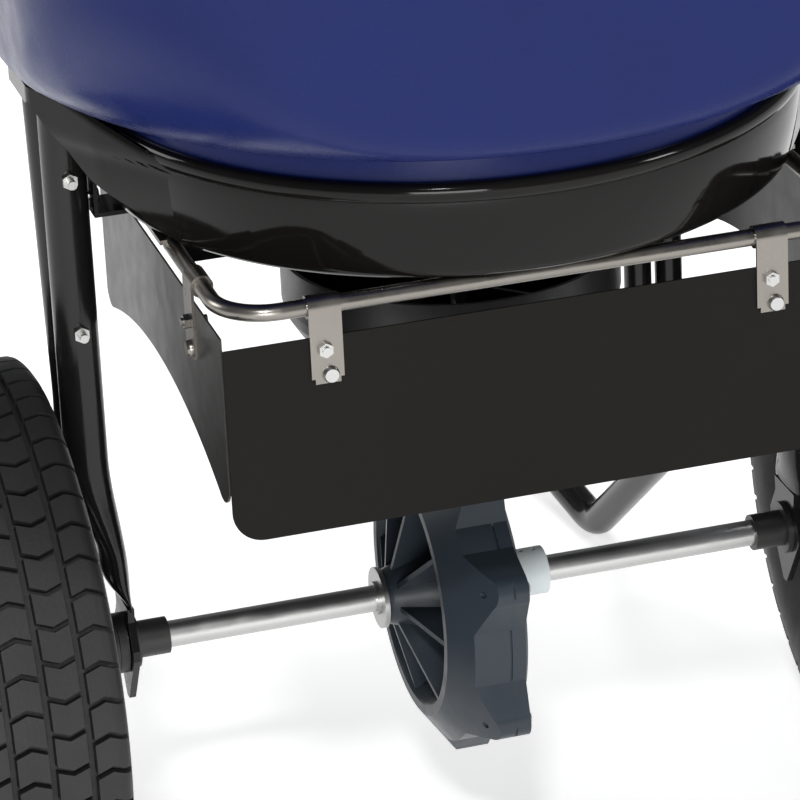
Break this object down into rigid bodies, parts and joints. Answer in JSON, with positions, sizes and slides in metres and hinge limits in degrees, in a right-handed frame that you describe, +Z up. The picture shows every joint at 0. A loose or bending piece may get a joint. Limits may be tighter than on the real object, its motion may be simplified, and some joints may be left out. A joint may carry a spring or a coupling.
{
  "type": "garden spreader",
  "caption": "Walk-behind broadcast spreader: blue hopper on a black tube frame, steel deflector round a geared spinner, pneumatic wheels and a push handle with a gate lever.",
  "frame": {"origin": "on the ground, in the middle of the whole machine's length and width", "axes": "-Y is the front where the material leaves, +Y is the operator's side, +X is to the right seen from the front, +Z is up"},
  "size_m": [0.7248, 1.194, 1.022],
  "materials": {
    "blue_shell": "glossy moulded polyethylene",
    "black_pan": "glossy moulded plastic",
    "powder_coat": "gloss black powder coat",
    "deflector_black": "satin black powder coat",
    "stainless": "bright stainless steel",
    "zinc": "bright zinc plate",
    "bright_steel": "ground and polished steel bar",
    "gear_case": "satin glass-filled nylon",
    "white_plastic": "satin acetal",
    "black_nylon": "satin nylon",
    "gear_nylon": "natural nylon",
    "tyre_rubber": "matt rubber",
    "rim_paint": "satin black paint",
    "spinner_plastic": "satin polypropylene",
    "foam": "soft foam",
    "pad_rubber": "matt rubber"
  },
  "bodies": {
    "frame": {"hopper": "blue_shell", "base_pan": "black_pan", "pan_screws": "zinc", "shaft_bush": "black_nylon", "cross_plate": "powder_coat", "rear_posts": "powder_coat", "rear_brace": "powder_coat", "frame_bolts": "zinc", "mount_pads": "pad_rubber", "mount_plates": "powder_coat", "handle_upper": "powder_coat", "handle_sleeves": "bright_steel", "lever_tube": "powder_coat", "lever_bracket": "zinc", "rate_quadrant": "powder_coat", "rate_stop": "black_nylon", "crank_bracket": "zinc", "deflector_rod": "stainless", "gearbox_left": "gear_case", "gearbox_right": "gear_case", "gearbox_screws": "zinc", "grips": "foam", "axle_bushes": "black_nylon", "leg_left": "powder_coat", "leg_right": "powder_coat", "stand_left": "powder_coat", "stand_right": "powder_coat"},
    "drive_axle": {"axle": "bright_steel", "axle_caps": "black_nylon", "wheel_spacers": "black_nylon", "axle_washer": "zinc", "axle_collar": "white_plastic", "crown_gear": "gear_nylon", "axle_pins": "zinc", "tyre_left": "tyre_rubber", "rim_left": "rim_paint", "hub_bushes_left": "black_nylon", "valve_stem_left": "black_nylon"},
    "free_wheel": {"tyre_right": "tyre_rubber", "rim_right": "rim_paint", "hub_bushes_right": "black_nylon", "valve_stem_right": "black_nylon"},
    "spinner_unit": {"spinner": "spinner_plastic", "spinner_shaft": "bright_steel", "spinner_pin": "zinc", "pinion": "gear_nylon", "agitator": "bright_steel"},
    "gate": {"gate_plate": "stainless"},
    "bell_crank": {"crank": "zinc"},
    "link": {"link_rod": "bright_steel"},
    "lever": {"control_lever": "powder_coat", "lever_knob": "black_nylon"},
    "front_deflector": {"front_panel": "deflector_black", "front_tabs": "stainless", "front_tab_screws": "zinc"},
    "side_deflector_left": {"side_panel_left": "deflector_black", "side_tab_left": "stainless"},
    "side_deflector_right": {"side_panel_right": "deflector_black", "side_tab_right": "stainless"}
  },
  "joints": [
    {"name": "drive_spin", "type": "hinge", "parent": "frame", "child": "drive_axle", "pos_m": [0, -0.326, 0.178], "axis": [1, 0, 0], "continuous": true},
    {"name": "free_wheel_spin", "type": "hinge", "parent": "drive_axle", "child": "free_wheel", "pos_m": [0.302, -0.326, 0.178], "axis": [1, 0, 0], "continuous": true},
    {"name": "spinner_spin", "type": "hinge", "parent": "frame", "child": "spinner_unit", "pos_m": [0, -0.326, 0.376], "axis": [0, 0, 1], "continuous": true},
    {"name": "lever_swing", "type": "hinge", "parent": "frame", "child": "lever", "pos_m": [0, 0.474, 0.862], "axis": [1, 0, 0], "range_deg": [0, 40]},
    {"name": "link_turn", "type": "hinge", "parent": "lever", "child": "link", "pos_m": [0, 0.46276, 0.90454], "axis": [1, 0, 0], "range_deg": [-40.5, 0.5]},
    {"name": "crank_turn", "type": "hinge", "parent": "frame", "child": "bell_crank", "pos_m": [0, -0.064, 0.488], "axis": [1, 0, 0], "range_deg": [-0.5, 40.5]},
    {"name": "gate_slide", "type": "slide", "parent": "frame", "child": "gate", "axis": [0, 1, 0], "range_m": [0, 0.02629]},
    {"name": "front_swing", "type": "hinge", "parent": "frame", "child": "front_deflector", "pos_m": [0, -0.5105, 0.4514], "axis": [1, 0, 0], "range_deg": [-75, 0]},
    {"name": "side_swing_left", "type": "hinge", "parent": "frame", "child": "side_deflector_left", "pos_m": [-0.1803, -0.452, 0.4514], "axis": [0, 1, 0], "range_deg": [-25, 6]},
    {"name": "side_swing_right", "type": "hinge", "parent": "frame", "child": "side_deflector_right", "pos_m": [0.1803, -0.452, 0.4514], "axis": [0, 1, 0], "range_deg": [-6, 25]}
  ],
  "couplings": [
    {"joint": "spinner_spin", "follows": "drive_spin", "ratio": 6.5},
    {"joint": "link_turn", "follows": "lever_swing", "ratio": -1},
    {"joint": "crank_turn", "follows": "lever_swing", "ratio": 1},
    {"joint": "gate_slide", "follows": "lever_swing", "m_per_rad": 0.037233}
  ]
}
